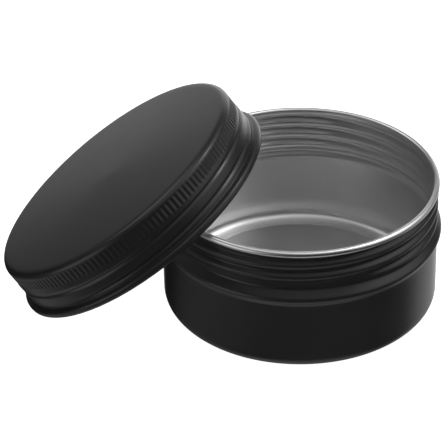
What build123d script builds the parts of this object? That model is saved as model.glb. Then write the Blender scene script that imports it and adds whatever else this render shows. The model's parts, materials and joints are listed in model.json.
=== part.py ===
from build123d import *

import math
import os

# A screw-top aluminium candle tin: a drawn cup with a rolled screw thread, its screw lid and the
# foam sealing disc inside the lid. The lid is off, leaning on the cup's rim, one edge on the table.
# Millimetres. The origin is the centre of the cup's foot, and +Z is the cup's axis.

# Cup
BODY_R = 35.5  # outside of the plain wall
CUP_HEIGHT = 34.65  # foot to the top of the rolled rim
CUP_SHEET = 0.4
FOOT_CORNER_R = 2.1  # outside radius between wall and foot
PANEL_R = 29.8  # the raised floor panel inside the foot ring
PANEL_RISE = 0.6
PANEL_SLOPE = 1.2  # how much wider the foot of the panel's edge is
PANEL_BEND_R = 0.8
NECK_R = 34.48  # outside of the neck, under the thread
BEAD_CORNER_R = 36.78  # outside corner of the stop bead, before it is rounded to 36.44
BEAD_Z = 21.0
BEAD_BELOW = 1.7  # where the bead starts, below its crest
BEAD_ABOVE = 2.3  # where it ends, above its crest
BEAD_BENDS_R = [1.0, 0.9, 0.9]  # its lower bend, its crest and its upper bend
RIM_TUBE_R = 0.75  # rolled rim, outside radius of its tube
RIM_OPENING_DEG = 80  # where the roll ends, below its outermost point

# Thread, right-handed, on the cup
THREAD_LEAD = 3.4
THREAD_CREST_R = 35.88
THREAD_TUBE_R = 1.45  # radius of the rounded ridge
THREAD_START_DEG = 283
THREAD_START_Z = 23.75
THREAD_TURNS = 2.2
THREAD_BAND_LOW = 22.5  # the ridge is only outside the neck above this height

# Lid, in its own frame: the origin is the centre of its top, +Z points out of the top
LID_DEPTH = 13.65
LID_SHEET = 0.3
LID_CROWN = 0.3  # how far the middle of the top stands above its edge
CROWN_FLAT_R = 14  # the flat middle of the crown
CROWN_BEND_R = 300
SHOULDER_R = 1.7  # rounding between top and side
KNURL_R = 36.3
KNURL_TOP = 1.3  # below the top
KNURL_BOTTOM = 4.8
KNURL_DEPTH = 0.16
RIB_CREST = 0.05  # a rib's crest before it is cut to the knurled radius
RIB_COUNT = 158
STEP_TOP = 5.1  # the small step from the knurled band to the skirt
STEP_BOTTOM = 5.9
STEP_BEND_R = 0.5
SKIRT_R = 36.42
FLARE_TOP = 11.5  # where the skirt starts to flare
FLARE_BOTTOM = 11.9
FLARE_BENDS_R = [0.4, 0.6]
LID_EDGE_R = 37.92  # outside of the rolled edge
LID_EDGE_TUBE_R = 0.9
LID_THREAD_INNER_R = 35.66  # how far in the lid's rolled thread reaches
LID_THREAD_TUBE_R = 0.8
LID_THREAD_START_DEG = -30
LID_THREAD_START_DEPTH = 10.5
LID_THREAD_TURNS = 1.5

# Sealing disc
LINER_R = 35.3
LINER_THICKNESS = 1.2
LINER_EDGE_R = 0.9  # its upper edge follows the inside of the lid's shoulder
LINER_PLAY = 0.08  # between the disc and the lid's top

# How the lid leans on the cup
LID_TILT_DEG = 35.55
LID_AZIMUTH_DEG = 174.68  # the way its top faces, seen from above
LEAN_AZIMUTH_DEG = 176.42  # where its centre is, seen from the cup's axis
LEAN_REACH = 48.24  # from the cup's axis to the lid's centre, seen from above

WELL_CLEAR = 100  # larger than any piece
SHARP = 0.01  # a corner that stays sharp

COLOURS = {"cup": "gray25", "lid": "gray15", "liner": "white"}


def polar(radius, degrees):
    """The point at this radius and angle, as x and y."""
    return radius * math.cos(math.radians(degrees)), radius * math.sin(math.radians(degrees))


def spun_sheet(points, radii, sheet):
    """A turned shell: a sheet whose middle follows this rounded outline of (radius, height) points."""
    middle = FilletPolyline(*points, radius=radii)
    section = make_face(offset(middle, amount=sheet / 2, side=Side.BOTH))
    right_half = Pos(WELL_CLEAR, 0) * Rectangle(2 * WELL_CLEAR, 2 * WELL_CLEAR)
    return revolve(Plane.XZ * (section & right_half), Axis.Z)


def helical_tube(tube_r, path_r, start_deg, start_z, turns):
    """A round tube along a right-handed helix, with a ball at each end."""
    path = Helix(THREAD_LEAD, THREAD_LEAD * turns, path_r)
    section = Plane(origin=path @ 0, z_dir=path % 0) * Circle(tube_r)
    tube = sweep(section, path, is_frenet=True)
    for end in (path @ 0, path @ 1):
        tube += Pos(end) * Sphere(tube_r)
    return Pos(0, 0, start_z) * Rot(0, 0, start_deg) * tube


def make_cup():
    half = CUP_SHEET / 2
    wall = BODY_R - half
    neck = NECK_R - half
    rim_r = RIM_TUBE_R - half
    rim_z = CUP_HEIGHT - RIM_TUBE_R
    rim_centre = neck + rim_r
    # The middle of the sheet: floor panel, foot ring, wall, stop bead, neck
    outline = [
        (-PANEL_RISE, PANEL_RISE + half),
        (PANEL_R, PANEL_RISE + half),
        (PANEL_R + PANEL_SLOPE, half),
        (wall, half),
        (wall, BEAD_Z - BEAD_BELOW),
        (BEAD_CORNER_R - half, BEAD_Z),
        (neck, BEAD_Z + BEAD_ABOVE),
        (neck, rim_z),
    ]
    radii = [PANEL_BEND_R, PANEL_BEND_R, FOOT_CORNER_R - half, *BEAD_BENDS_R]
    shell = spun_sheet(outline, radii, CUP_SHEET)
    # The rolled rim turns outwards and stops just short of the neck
    roll = CenterArc((rim_centre, rim_z), rim_r, 180, -(180 + RIM_OPENING_DEG))
    roll_section = make_face(offset(roll, amount=half, side=Side.BOTH))
    shell += revolve(Plane.XZ * roll_section, Axis.Z)
    # The thread is rolled into the neck, so it is a ridge outside and a groove inside
    path_r = THREAD_CREST_R - THREAD_TUBE_R
    where = (path_r, THREAD_START_DEG, THREAD_START_Z, THREAD_TURNS)
    ridge = helical_tube(THREAD_TUBE_R, *where)
    groove = helical_tube(THREAD_TUBE_R - CUP_SHEET, *where)
    bore_middle = (THREAD_BAND_LOW + rim_z) / 2
    bore = Pos(0, 0, bore_middle) * Cylinder(neck, rim_z - THREAD_BAND_LOW)
    return shell + (ridge - bore - groove) - groove


def turned_form(points, radii):
    """A solid turned from this rounded outline, which starts and ends on the axis."""
    outline = FilletPolyline(*points, radius=radii)
    axis_side = Line(outline @ 1, outline @ 0)
    return revolve(Plane.XZ * make_face(outline + axis_side), Axis.Z)


def knurl_cutter():
    """What is cut away between the fine upright ribs round the lid's upper side."""
    turn = 360 / RIB_COUNT
    ribs = []
    for rib in range(RIB_COUNT):
        ribs.append(polar(KNURL_R - KNURL_DEPTH, rib * turn))
        ribs.append(polar(KNURL_R + RIB_CREST, (rib + 0.5) * turn))
    ribbed = make_face(Polyline(*ribs, close=True))
    cutter = extrude(Circle(KNURL_R + 1) - ribbed, KNURL_BOTTOM - KNURL_TOP)
    return Pos(0, 0, -KNURL_BOTTOM) * cutter


def make_lid():
    inner_skirt_r = SKIRT_R - LID_SHEET
    path_r = LID_THREAD_INNER_R + LID_THREAD_TUBE_R
    where = (path_r, LID_THREAD_START_DEG, -LID_THREAD_START_DEPTH, LID_THREAD_TURNS)
    # The outside form: crowned top, shoulder, knurled band, skirt, flare and rolled edge
    outside = turned_form(
        [
            (0, LID_CROWN),
            (CROWN_FLAT_R, LID_CROWN),
            (KNURL_R, 0),
            (KNURL_R, -STEP_TOP),
            (SKIRT_R, -STEP_BOTTOM),
            (SKIRT_R, -FLARE_TOP),
            (LID_EDGE_R, -FLARE_BOTTOM),
            (LID_EDGE_R, -LID_DEPTH),
            (0, -LID_DEPTH),
        ],
        [CROWN_BEND_R, SHOULDER_R, STEP_BEND_R, STEP_BEND_R, *FLARE_BENDS_R, LID_EDGE_TUBE_R],
    )
    outside -= knurl_cutter()
    outside -= helical_tube(LID_THREAD_TUBE_R - LID_SHEET, *where)
    # The inside form: the same sheet's inner face, open below, with a chamfered lower edge
    chamfer_top = LID_DEPTH - LID_EDGE_TUBE_R
    chamfer = 2 * LID_EDGE_TUBE_R
    inside = turned_form(
        [
            (0, LID_CROWN - LID_SHEET),
            (CROWN_FLAT_R, LID_CROWN - LID_SHEET),
            (KNURL_R - LID_SHEET, -LID_SHEET),
            (KNURL_R - LID_SHEET, -STEP_TOP),
            (inner_skirt_r, -STEP_BOTTOM),
            (inner_skirt_r, -chamfer_top),
            (inner_skirt_r + chamfer, -chamfer_top - chamfer),
            (0, -chamfer_top - chamfer),
        ],
        [CROWN_BEND_R, SHOULDER_R - LID_SHEET, STEP_BEND_R, STEP_BEND_R, FLARE_BENDS_R[0], SHARP],
    )
    inside -= helical_tube(LID_THREAD_TUBE_R, *where)
    return outside - inside


def make_liner():
    top = -LID_SHEET - LINER_PLAY
    disc = Pos(0, 0, top - LINER_THICKNESS / 2) * Cylinder(LINER_R, LINER_THICKNESS)
    return fillet(disc.edges().sort_by(Axis.Z)[-1], LINER_EDGE_R)


def leaning():
    """Where the lid is: its lowest edge is on the table, and its skirt rests on the cup's rim."""
    tilt = math.radians(LID_TILT_DEG)
    x, y = polar(LEAN_REACH, LEAN_AZIMUTH_DEG)
    z = (
        LID_EDGE_TUBE_R
        + (LID_EDGE_R - LID_EDGE_TUBE_R) * math.sin(tilt)
        + (LID_DEPTH - LID_EDGE_TUBE_R) * math.cos(tilt)
    )
    facing = Vector(*polar(math.sin(tilt), LID_AZIMUTH_DEG), math.cos(tilt))
    sideways = Vector(*polar(1, LID_AZIMUTH_DEG + 90), 0)
    return Plane(origin=(x, y, z), x_dir=sideways, z_dir=facing).location


place = leaning()
nodes = {"cup": make_cup(), "lid": place * make_lid(), "liner": place * make_liner()}

os.makedirs("parts", exist_ok=True)
for name, solid in nodes.items():
    solid.label = name
    solid.color = Color(COLOURS[name])
    export_step(solid, f"parts/{name}.step")
    print(name, len(solid.solids()), "solid", round(solid.volume, 1), "mm3")
centre = place.position
print("lid centre", round(centre.X, 3), round(centre.Y, 3), round(centre.Z, 3))
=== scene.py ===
import json
import math

import bpy
import numpy as np
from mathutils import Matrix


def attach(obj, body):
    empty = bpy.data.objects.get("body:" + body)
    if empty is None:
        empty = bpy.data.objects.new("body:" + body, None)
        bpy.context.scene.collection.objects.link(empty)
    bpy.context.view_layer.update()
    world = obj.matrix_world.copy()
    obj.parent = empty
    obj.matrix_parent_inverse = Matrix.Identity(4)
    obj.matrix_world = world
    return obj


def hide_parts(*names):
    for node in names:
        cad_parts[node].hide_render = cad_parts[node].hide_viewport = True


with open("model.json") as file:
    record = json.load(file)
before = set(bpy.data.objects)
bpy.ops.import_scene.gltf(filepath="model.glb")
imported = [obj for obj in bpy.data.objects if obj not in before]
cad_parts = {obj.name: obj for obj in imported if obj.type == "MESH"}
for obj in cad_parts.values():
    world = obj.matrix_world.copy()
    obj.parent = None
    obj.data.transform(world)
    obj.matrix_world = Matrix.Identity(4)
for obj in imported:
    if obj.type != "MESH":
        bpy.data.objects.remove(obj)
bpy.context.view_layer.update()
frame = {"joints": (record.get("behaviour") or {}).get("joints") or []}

# ---- The table, the light and the camera ----
# A pale table under soft lights in a white room. The camera's side of the room is dim, so that the
# black tin stays black in front and picks up soft light along its edges.

ROOM_WHITE = 1.05
TABLE_HALF = 3.0
TABLE_DROP = 0.0002
TABLE_GLOW = 0.275
scene = bpy.context.scene
scene.view_settings.view_transform = "Standard"


class Link:
    """A shader socket that Python's operators work on: each operator adds the node it stands for."""

    def __init__(self, tree, socket):
        self.tree = tree
        self.socket = socket

    def node(self, kind, settings=None, sockets=None, out=0):
        """A node of this kind: its settings first, then the values or links of its sockets."""
        made = self.tree.nodes.new(kind)
        for name, value in (settings or {}).items():
            setattr(made, name, value)
        for key, value in (sockets or {}).items():
            if isinstance(value, Link):
                self.tree.links.new(value.socket, made.inputs[key])
            else:
                made.inputs[key].default_value = value
        return Link(self.tree, made.outputs[out] if made.outputs else None)

    def math(self, operation, other, swap=False):
        """A Math node on this link and the other, which comes first if swap is set."""
        pair = (other, self) if swap else (self, other)
        return self.node("ShaderNodeMath", {"operation": operation}, dict(enumerate(pair)))

    def __add__(self, other):
        return self.math("ADD", other)

    def __sub__(self, other):
        return self.math("SUBTRACT", other)

    def __rsub__(self, other):
        return self.math("SUBTRACT", other, True)

    def __mul__(self, other):
        return self.math("MULTIPLY", other)

    def __pow__(self, other):
        return self.math("POWER", other)

    __radd__ = __add__
    __rmul__ = __mul__

    def between(self, low, high):
        """0 below low, 1 above high, and a smooth step between."""
        settings = {"interpolation_type": "SMOOTHSTEP"}
        return self.node("ShaderNodeMapRange", settings, {0: self, 1: low, 2: high})


def empty_tree(owner):
    """The owner's node tree with nothing in it, as the start of a chain of links."""
    owner.use_nodes = True
    owner.node_tree.nodes.clear()
    return Link(owner.node_tree, None)


# Each soft light: azimuth from +X towards +Y, elevation, half width (all degrees), and brightness
SOFT_LIGHTS = [
    (20, 60, 12, 8.0),  # the key, high on the right and a little behind
    (25, 60, 40, 0.7),  # the soft spill round it
    (150, 50, 25, 1.8),  # its pair, high on the left
    (270, 80, 45, 0.7),  # a broad panel overhead
    (-5, 30, 40, 1.0),  # a panel on the right
    (85, -5, 40, 1.6),  # the bright backdrop at table height
    (215, 0, 35, 1.2),  # a low card in front, to the left
    (50, -35, 35, 0.8),  # the table's own glow on the right
    (-70, -75, 40, 0.6),  # in front
    (170, -60, 35, 0.3),  # and on the left
]


def light_the_room():
    """One glow per soft light, by direction: full at its centre, and smoothly nothing at its edge.
    The camera sees plain white in every direction."""
    world = bpy.data.worlds.new("studio")
    scene.world = world
    start = empty_tree(world)
    direction = start.node("ShaderNodeTexCoord", out=0)
    level = 0.0
    for azimuth, elevation, width, brightness in SOFT_LIGHTS:
        a, e = math.radians(azimuth), math.radians(elevation)
        centre = (math.cos(e) * math.cos(a), math.cos(e) * math.sin(a), math.sin(e))
        near = start.node(
            "ShaderNodeVectorMath", {"operation": "DOT_PRODUCT"}, {0: direction, 1: centre}, 1
        )
        level = level + near.between(math.cos(math.radians(width)), 1.0) * brightness
    for_camera = start.node("ShaderNodeLightPath", out=0)
    strength = level + for_camera * (ROOM_WHITE - level)
    shown = start.node("ShaderNodeBackground", sockets={0: (1, 1, 1, 1), 1: strength})
    start.node("ShaderNodeOutputWorld", sockets={0: shown})


light_the_room()

table_mesh = bpy.data.meshes.new("table")
quarters = ((-1, -1), (1, -1), (1, 1), (-1, 1))
corners = [(x * TABLE_HALF, y * TABLE_HALF, -TABLE_DROP) for x, y in quarters]
table_mesh.from_pydata(corners, [], [(0, 1, 2, 3)])
table = bpy.data.objects.new("table", table_mesh)
scene.collection.objects.link(table)
table_paint = bpy.data.materials.new("white_sweep")
start = empty_tree(table_paint)
for_camera = start.node("ShaderNodeLightPath", out=0)
glow = start.node(
    "ShaderNodeMix",
    {"data_type": "RGBA"},
    {0: for_camera, 6: (TABLE_GLOW, TABLE_GLOW, TABLE_GLOW, 1), 7: (1.0, 1.0, 1.0, 1)},
    2,
)
white = {"Base Color": (0.9, 0.9, 0.9, 1), "Roughness": 1.0, "Specular IOR Level": 0.0}
sweep = start.node(
    "ShaderNodeBsdfPrincipled", sockets={**white, "Emission Color": glow, "Emission Strength": 1.0}
)
start.node("ShaderNodeOutputMaterial", sockets={0: sweep})
table_mesh.materials.append(table_paint)
table.visible_glossy = False

# The camera stands in front of the cup and a little above it, with a long lens
CAMERA_DISTANCE = 0.6026
CAMERA_ELEVATION = math.radians(34.5)
LENS_MM = 183.9
SENSOR_MM = 36.0
FARTHEST = 20.0
TURN_RIGHT = -0.0330
TURN_UP = 0.0281
ROLL = 0.0012


def turned(a, b, angle):
    """The axes a and b, turned by angle from a towards b."""
    return a * math.cos(angle) + b * math.sin(angle), b * math.cos(angle) - a * math.sin(angle)


eye = CAMERA_DISTANCE * np.array([0, -math.cos(CAMERA_ELEVATION), math.sin(CAMERA_ELEVATION)])
ahead = -eye / CAMERA_DISTANCE
rightwards = np.array([1.0, 0.0, 0.0])
upwards = np.cross(rightwards, ahead)
ahead, rightwards = turned(ahead, rightwards, TURN_RIGHT)
ahead, upwards = turned(ahead, upwards, TURN_UP)
rightwards, upwards = turned(rightwards, upwards, ROLL)
camera = bpy.data.objects.new("camera", bpy.data.cameras.new("camera"))
scene.collection.objects.link(camera)
camera.data.lens = LENS_MM
camera.data.sensor_width = SENSOR_MM
camera.data.clip_end = FARTHEST
camera.matrix_world = Matrix(
    [[*row, place] for row, place in zip(np.stack([rightwards, upwards, -ahead], 1), eye)]
    + [[0, 0, 0, 1]]
)
scene.camera = camera

# ---- The cup ----
# The tin's body, drawn from one sheet of aluminium: a foot ring round a raised floor panel, a plain
# wall, a stop bead, a screw thread rolled into the neck, and a rim rolled outwards. It is black
# lacquered outside and bare inside, so the rolled rim shows bare metal. Sizes are in millimetres.

MM = 0.001
BODY_R = 35.5
CUP_HEIGHT = 34.65
CUP_SHEET = 0.4
CUP_COLUMNS = 320
PANEL_R = 29.8
PANEL_SLOPE = 1.2
PANEL_RISE = 0.6
BEAD_Z = 21.0
BEAD_R = 36.44
BEAD_CORNER = 0.34  # how far the bead's corner stands outside its crest, before it is rounded
BEAD_BELOW = 1.7
BEAD_ABOVE = 2.3
CUP_BENDS_R = [0.8, 0.8, 2.6, 1.8, 0.9, 0.9]
CUP_STEPS = [3, 0.5, 0.6, 1.5, 0.3, 0.3, 0.24]
NECK_R = 34.48
NECK_LOW = 22.6
NECK_HIGH = 33.7
THREAD_LEAD = 3.4
THREAD_HEIGHT = 1.05
THREAD_START = math.radians(283)
THREAD_START_Z = 23.9
THREAD_TURNS = 2.6
THREAD_ABOVE = 1.1
THREAD_BELOW = 2.3
THREAD_FADE = 0.12
RIM_TUBE_R = 0.82
RIM_OPENING_DEG = 80  # where the roll ends, below its outermost point
RIM_ROWS = 26
EDGE_ROWS = 5
ARC_STEP_DEG = 9


def rounded_line(corners, radii, step):
    """Points along a line through the corners, each corner replaced by an arc of its radius.
    Straight runs are divided at the given step for each run, and arcs at an even angle."""
    corners = np.array(corners, float)
    pieces = [corners[:1]]
    for i, radius in enumerate(radii):
        a, b, c = corners[i : i + 3]
        into = (b - a) / np.linalg.norm(b - a)
        out = (c - b) / np.linalg.norm(c - b)
        bend = math.acos(np.clip(into @ out, -1, 1))
        reach = radius * math.tan(bend / 2)
        first = b - into * reach
        side = np.array([-into[1], into[0]])
        side *= np.sign(side @ out)
        centre = first + side * radius
        turn = np.linspace(0, bend, max(2, int(math.degrees(bend) / ARC_STEP_DEG) + 2))[:, None]
        arc = centre + radius * (into * np.sin(turn) - side * np.cos(turn))
        pieces += [divided(pieces[-1][-1], first, step[i]), arc[1:]]
    pieces.append(divided(pieces[-1][-1], corners[-1], step[-1]))
    return np.vstack(pieces)


def divided(a, b, step):
    """Even points from a to b, without a itself."""
    count = max(1, round(np.linalg.norm(b - a) / step))
    return a + (b - a) * np.linspace(0, 1, count + 1)[1:, None]


def screw(height, angle, start_angle, start_height, turns, above, below, fade):
    """A right-handed screw ridge of height 1 on a wall. The ridge's crest climbs by the lead each
    turn; from it the height falls as a squared cosine, over the widths above and below the crest;
    its ends fade over fade turns."""
    turned_by = (angle - start_angle) / (2 * math.pi) % 1.0
    along = (height - start_height) / THREAD_LEAD - turned_by
    nearest = np.round(along)
    off = (along - nearest) * THREAD_LEAD
    place = turned_by + nearest
    flank = np.where(off > 0, off / above, off / below)
    ridge = np.cos(np.clip(flank, -1, 1) * math.pi / 2) ** 2
    inside = np.clip(np.minimum(place, turns - place) / fade, 0, 1)
    return ridge * inside * inside * (3 - 2 * inside)


def unit(vectors):
    """The vectors at length 1: each divided by its own length."""
    return vectors / np.maximum(np.linalg.norm(vectors, axis=-1, keepdims=True), 1e-12)


def sheet_faces(profile, push, columns, sheet):
    """Both faces of a turned sheet, as rows of points round the axis. The middle of the sheet is the
    profile of (radius, height) turned round the axis and pushed outwards by push(height, angle).
    Each face stands half the sheet's thickness off it, and half circles close the free edge."""
    angle = np.linspace(0, 2 * math.pi, columns, endpoint=False)[None, :]
    radius, height = profile[:, :1], profile[:, 1:]
    far = radius + push(height, angle)
    middle = np.stack([far * np.cos(angle), far * np.sin(angle), height + 0 * angle], -1)
    along = np.gradient(middle, axis=0)
    around = np.roll(middle, -1, 1) - np.roll(middle, 1, 1)
    out = unit(np.cross(around, along))
    out[0] = out[1].mean(0) / np.linalg.norm(out[1].mean(0))
    outer = middle + out * sheet / 2
    inner = middle - out * sheet / 2
    forward = unit(along[-1])
    turn = np.linspace(0, math.pi, EDGE_ROWS + 2)[1:-1, None, None]
    edge = middle[-1] + (out[-1] * np.cos(turn) + forward * np.sin(turn)) * sheet / 2
    return outer, edge, inner[::-1]


def closed_rows(name, bands, finishes, place=None):
    """One closed mesh from bands of rows round an axis. The first and last rows are single points.
    Neighbouring rows with different numbers of points are joined by fans of triangles."""
    points, faces, marks = [], [], []
    before = None
    total = 0
    for band, mark in bands:
        rows, columns = band.shape[:2]
        index = total + np.arange(rows * columns).reshape(rows, columns)
        points.append(band.reshape(-1, 3))
        total += rows * columns
        if before is not None:
            joined = joining_faces(before, index[0])
            faces += joined
            marks += [mark] * len(joined)
        ahead_of = np.roll(index, -1, 1)
        quads = np.stack([index[:-1], ahead_of[:-1], ahead_of[1:], index[1:]], -1).reshape(-1, 4)
        faces += quads.tolist()
        marks += [mark] * len(quads)
        before = index[-1]
    mesh = bpy.data.meshes.new(name)
    points = np.vstack(points)
    if place is not None:
        points = points @ place[:, :3].T + place[:, 3]
    mesh.from_pydata(points * MM, [], faces)
    mesh.polygons.foreach_set("use_smooth", np.ones(len(faces), bool))
    mesh.polygons.foreach_set("material_index", np.array(marks, np.int32))
    for finish in finishes:
        mesh.materials.append(finish)
    mesh.validate()
    mesh.update()
    piece = bpy.data.objects.new(name, mesh)
    scene.collection.objects.link(piece)
    return piece


def joining_faces(lower, upper):
    """Faces between two rows whose numbers of points divide each other, or one of which is a point."""
    if len(lower) == 1 or len(upper) == 1:
        ring = upper if len(lower) == 1 else lower
        ahead_of = np.roll(ring, -1)
        tip = np.full(len(ring), (lower if len(lower) == 1 else upper)[0])
        fan = (tip, ahead_of, ring) if len(lower) == 1 else (ring, ahead_of, tip)
        return np.stack(fan, -1).tolist()
    if len(lower) == len(upper):
        return np.stack([lower, np.roll(lower, -1), np.roll(upper, -1), upper], -1).tolist()
    fine, coarse, flip = (lower, upper, False) if len(lower) > len(upper) else (upper, lower, True)
    ratio = len(fine) // len(coarse)
    wide = np.roll(coarse, -1)
    fine_next = np.roll(fine, -1)
    half = ratio // 2
    owner = np.arange(len(fine)) // ratio
    near = np.where(np.arange(len(fine)) % ratio < half, coarse[owner], wide[owner])
    fans = np.stack([fine, fine_next, near], -1)
    middles = np.stack([fine[half::ratio], wide, coarse], -1)
    both = np.vstack([fans, middles])
    return (both[:, ::-1] if flip else both).tolist()


def with_points(bands):
    """The bands with their first and last rows, where the radius is nothing, as single points."""
    first, mark = bands[0]
    last, last_mark = bands[-1]
    start_point = (first[:1, :1], mark)
    end_point = (last[-1:, :1], last_mark)
    return [start_point, (first[1:], mark), *bands[1:-1], (last[:-1], last_mark), end_point]


def black_lacquer():
    """Satin black stoving lacquer on aluminium: a faint orange peel, slightly uneven sheen, and fine
    pale dust specks. The pattern is solid noise, so it needs no seam."""
    finish = bpy.data.materials.new("black_lacquer")
    start = empty_tree(finish)
    where = start.node("ShaderNodeTexCoord", out=3)
    peel = start.node("ShaderNodeTexNoise", sockets={"Vector": where, "Scale": 1500.0, "Detail": 3.0})
    cloud = start.node("ShaderNodeTexNoise", sockets={"Vector": where, "Scale": 60.0, "Detail": 4.0})
    speck = start.node("ShaderNodeTexNoise", sockets={"Vector": where, "Scale": 4200.0, "Detail": 1.0})
    dust = speck.between(0.74, 0.80) * 0.05
    black = start.node(
        "ShaderNodeMix",
        {"data_type": "RGBA"},
        {0: dust + cloud * 0.02, 6: (0.011, 0.011, 0.0115, 1), 7: (0.30, 0.30, 0.30, 1)},
        2,
    )
    relief = start.node(
        "ShaderNodeBump", sockets={"Strength": 0.12, "Distance": 0.00002, "Height": peel}
    )
    surface = start.node(
        "ShaderNodeBsdfPrincipled",
        sockets={
            "Base Color": black,
            "Roughness": 0.40 + cloud * 0.10,
            "Normal": relief,
            "Specular IOR Level": 0.30,
            "Coat Weight": 0.32,
            "Coat Roughness": 0.14,
        },
    )
    start.node("ShaderNodeOutputMaterial", sockets={0: surface})
    return finish


def bare_aluminium():
    """Bare drawn aluminium: a satin metal with fine rings from the drawing and spinning tools, which
    follow height on the wall and radius on the floor, and a soft cloudiness."""
    finish = bpy.data.materials.new("bare_aluminium")
    start = empty_tree(finish)
    where = start.node("ShaderNodeTexCoord", out=3)
    x = start.node("ShaderNodeSeparateXYZ", sockets={0: where}, out=0)
    y = start.node("ShaderNodeSeparateXYZ", sockets={0: where}, out=1)
    z = start.node("ShaderNodeSeparateXYZ", sockets={0: where}, out=2)
    from_axis = (x * x + y * y) ** 0.5
    ring_place = start.node("ShaderNodeCombineXYZ", sockets={0: from_axis * 3000.0, 1: z * 3000.0})
    drift = start.node("ShaderNodeCombineXYZ", sockets={0: x * 25.0, 1: y * 25.0, 2: 0.0})
    line_place = start.node(
        "ShaderNodeVectorMath", {"operation": "ADD"}, {0: ring_place, 1: drift}
    )
    line = start.node("ShaderNodeTexNoise", sockets={"Vector": line_place, "Scale": 1.0, "Detail": 3.0})
    cloud = start.node("ShaderNodeTexNoise", sockets={"Vector": where, "Scale": 90.0, "Detail": 3.0})
    metal = start.node(
        "ShaderNodeMix",
        {"data_type": "RGBA"},
        {0: line * 0.5 + cloud * 0.5, 6: (0.66, 0.66, 0.665, 1), 7: (0.79, 0.79, 0.79, 1)},
        2,
    )
    relief = start.node(
        "ShaderNodeBump", sockets={"Strength": 0.25, "Distance": 0.000012, "Height": line}
    )
    surface = start.node(
        "ShaderNodeBsdfPrincipled",
        sockets={
            "Base Color": metal,
            "Metallic": 1.0,
            "Roughness": 0.32 + cloud * 0.08,
            "Normal": relief,
        },
    )
    start.node("ShaderNodeOutputMaterial", sockets={0: surface})
    return finish


def cup_profile():
    """The middle of the cup's sheet, from the floor's centre out, up the wall and round the rim."""
    half = CUP_SHEET / 2
    wall, neck = BODY_R - half, NECK_R - half
    roll = RIM_TUBE_R - half
    roll_height = CUP_HEIGHT - RIM_TUBE_R
    corners = [
        (0, PANEL_RISE + half),
        (PANEL_R, PANEL_RISE + half),
        (PANEL_R + PANEL_SLOPE, half),
        (wall, half),
        (wall, BEAD_Z - BEAD_BELOW),
        (BEAD_R - half + BEAD_CORNER, BEAD_Z),
        (neck, BEAD_Z + BEAD_ABOVE),
        (neck, roll_height),
    ]
    body = rounded_line(corners, CUP_BENDS_R, CUP_STEPS)
    turn = np.radians(np.linspace(180, -RIM_OPENING_DEG, RIM_ROWS + 1)[1:, None])
    rim = [neck + roll, roll_height] + roll * np.hstack([np.cos(turn), np.sin(turn)])
    return np.vstack([body, rim])


def cup_push(height, angle):
    """How far the thread stands out of the neck: a rolled ridge, steeper above its crest than below
    it, that dies away towards the bead and the rim."""
    in_neck = np.clip((height - NECK_LOW) / 0.8, 0, 1) * np.clip((NECK_HIGH - height) / 0.5, 0, 1)
    place = (THREAD_START, THREAD_START_Z, THREAD_TURNS)
    ridge = screw(height, angle, *place, THREAD_ABOVE, THREAD_BELOW, THREAD_FADE)
    return THREAD_HEIGHT * in_neck * ridge


lacquer = black_lacquer()
metal = bare_aluminium()
outer, edge, inner = sheet_faces(cup_profile(), cup_push, CUP_COLUMNS, CUP_SHEET)
bands = with_points([(outer, 0), (edge, 1), (inner, 1)])
cup = closed_rows("cup_shell", bands, [lacquer, metal])
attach(cup, "tin_body")
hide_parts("cup")

# ---- The lid ----
# A cap drawn from one sheet of aluminium: a slightly crowned top, a rounded shoulder, a knurled band
# for grip, a screw thread rolled into the skirt, and a flared edge rolled inwards under itself.
# It is black lacquered outside and bare inside.

LID_SHEET = 0.3
LID_DEPTH = 13.65
LID_CROWN = 0.9
CROWN_FLAT_R = 17
CROWN_BEND_R = 700
SHOULDER_R = 1.55
KNURL_R = 36.3
KNURL_TOP = 1.3
KNURL_BOTTOM = 4.8
KNURL_DEPTH = 0.18
RIB_COUNT = 158
POINTS_PER_RIB = 8
SKIRT_R = 36.42
STEP_TOP = 5.1
STEP_BOTTOM = 5.9
FLARE_TOP = 11.5
FLARE_BOTTOM = 11.9
LID_EDGE_R = 37.92
EDGE_ROLL_WIDTH = 1.8
EDGE_ROLL_TUCK = 1.0
LID_BENDS_R = [CROWN_BEND_R, SHOULDER_R, 0.5, 0.5, 0.4, 0.6, 0.7, 0.65]
LID_STEPS = [2, 2, 0.3, 0.3, 0.28, 0.3, 0.4, 0.4, 0.3]
GROOVE_DEPTH = 0.42
GROOVE_START = math.radians(174)
GROOVE_START_DEPTH = 5.16
GROOVE_TURNS = 1.6
GROOVE_FLANK = 0.75
RIBBED_ROWS = (0.9, 5.2)  # the depths between which the mesh is fine enough for the ribs


def lid_place():
    """The lid's own frame in the tin's frame, in millimetres, from the axis and the centre of the
    joint that it turns on: the lid's X lies level, and its Z runs down into the lid from its top."""
    turning = next(joint for joint in frame["joints"] if joint["name"] == "lid_turn")
    inwards = -unit(np.array(turning["axis"]))
    level = unit(np.array([inwards[1], -inwards[0], 0.0]))
    third = np.cross(inwards, level)
    return np.column_stack([level, third, inwards, np.array(turning["pos_m"]) / MM])


def lid_profile():
    """The middle of the lid's sheet, from the top's centre out, down the side and round the edge,
    as radius and depth below the top."""
    half = LID_SHEET / 2
    side, skirt, edge_r = KNURL_R - half, SKIRT_R - half, LID_EDGE_R - half
    bottom = LID_DEPTH - half
    inner_edge = LID_EDGE_R - EDGE_ROLL_WIDTH + half
    corners = [
        (0, -LID_CROWN + half),
        (CROWN_FLAT_R, -LID_CROWN + half),
        (side, half),
        (side, STEP_TOP),
        (skirt, STEP_BOTTOM),
        (skirt, FLARE_TOP),
        (edge_r, FLARE_BOTTOM),
        (edge_r, bottom),
        (inner_edge, bottom),
        (inner_edge, bottom - EDGE_ROLL_TUCK),
    ]
    return rounded_line(corners, LID_BENDS_R, LID_STEPS)


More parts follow.
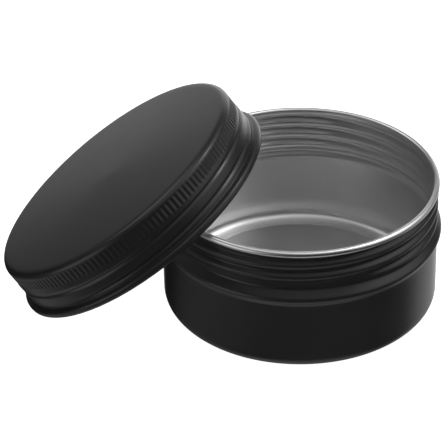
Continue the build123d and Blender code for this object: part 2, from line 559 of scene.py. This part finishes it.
def skirt_groove(depth, angle):
    """The lid's thread: a screw groove, pressed into the skirt from outside."""
    in_skirt = np.clip((depth - KNURL_BOTTOM) / 0.5, 0, 1) * (depth < FLARE_TOP)
    place = (GROOVE_START, GROOVE_START_DEPTH, GROOVE_TURNS)
    groove = screw(depth, angle, *place, GROOVE_FLANK, GROOVE_FLANK, THREAD_FADE)
    return -GROOVE_DEPTH * in_skirt * groove


def knurled(depth, angle):
    """The thread groove, and the knurling: the ribs are a cosine round the lid, pressed inwards, and
    fade at both ends of their band."""
    top = np.clip((depth - KNURL_TOP) / 0.4, 0, 1)
    low = np.clip((KNURL_BOTTOM - depth) / 0.3, 0, 1)
    ribs = top * low * (0.5 + 0.5 * np.cos(RIB_COUNT * angle))
    return skirt_groove(depth, angle) - KNURL_DEPTH * ribs


profile = lid_profile()
fine, coarse = RIB_COUNT * POINTS_PER_RIB, RIB_COUNT * 2
outer, edge, _ = sheet_faces(profile, knurled, fine, LID_SHEET)
_, _, inner = sheet_faces(profile, skirt_groove, coarse, LID_SHEET)
radius, depth = profile.T
in_band = (depth > RIBBED_ROWS[0]) & (depth < RIBBED_ROWS[1]) & (radius < KNURL_R)
side_rows = np.nonzero(in_band)[0]
first, last = side_rows[0], side_rows[-1] + 1
bands = with_points(
    [
        (outer[:first, ::4], 0),
        (outer[first:last], 0),
        (outer[last:, ::2], 0),
        (edge[:, ::2], 0),
        (inner, 1),
    ]
)
lid = closed_rows("lid_shell", bands, [lacquer, metal], lid_place())
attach(lid, "lid")
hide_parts("lid")

# ---- The sealing disc ----
# A disc of white polyethylene foam that lies loose inside the lid's top and seals on the cup's rim.

LINER_R = 35.3
LINER_THICKNESS = 1.2
LINER_EDGE_R = 0.9
LINER_LOW_EDGE_R = 0.15
LINER_TOP = 0.38
LINER_COLUMNS = 180


def white_foam():
    """Closed-cell foam: white, matt, with the dimples of its cells."""
    finish = bpy.data.materials.new("white_foam")
    start = empty_tree(finish)
    where = start.node("ShaderNodeTexCoord", out=3)
    cells = start.node("ShaderNodeTexVoronoi", sockets={"Vector": where, "Scale": 1100.0})
    cloud = start.node("ShaderNodeTexNoise", sockets={"Vector": where, "Scale": 150.0, "Detail": 3.0})
    white = start.node(
        "ShaderNodeMix",
        {"data_type": "RGBA"},
        {0: cells * 0.5 + cloud * 0.3, 6: (0.86, 0.86, 0.85, 1), 7: (0.74, 0.74, 0.73, 1)},
        2,
    )
    relief = start.node(
        "ShaderNodeBump", sockets={"Strength": 0.5, "Distance": 0.0001, "Height": cells}
    )
    surface = start.node(
        "ShaderNodeBsdfPrincipled",
        sockets={"Base Color": white, "Roughness": 0.55 + cloud * 0.2, "Normal": relief},
    )
    start.node("ShaderNodeOutputMaterial", sockets={0: surface})
    return finish


def liner_rows():
    """The disc's outline turned round its axis, as radius and depth below the lid's top: flat faces,
    a rounded upper edge and a small round on the lower edge."""
    low = LINER_TOP + LINER_THICKNESS
    corners = [(0, LINER_TOP), (LINER_R, LINER_TOP), (LINER_R, low), (0, low)]
    outline = rounded_line(corners, [LINER_EDGE_R, LINER_LOW_EDGE_R], [3, 0.3, 3])
    angle = np.linspace(0, 2 * math.pi, LINER_COLUMNS, endpoint=False)[None, :]
    radius, height = outline[:, :1], outline[:, 1:]
    return np.stack([radius * np.cos(angle), radius * np.sin(angle), height + 0 * angle], -1)


rows = liner_rows()
half_way = len(rows) // 2
bands = with_points([(rows[:half_way], 0), (rows[half_way:], 0)])
liner = closed_rows("liner_disc", bands, [white_foam()], lid_place())
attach(liner, "liner")
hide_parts("liner")
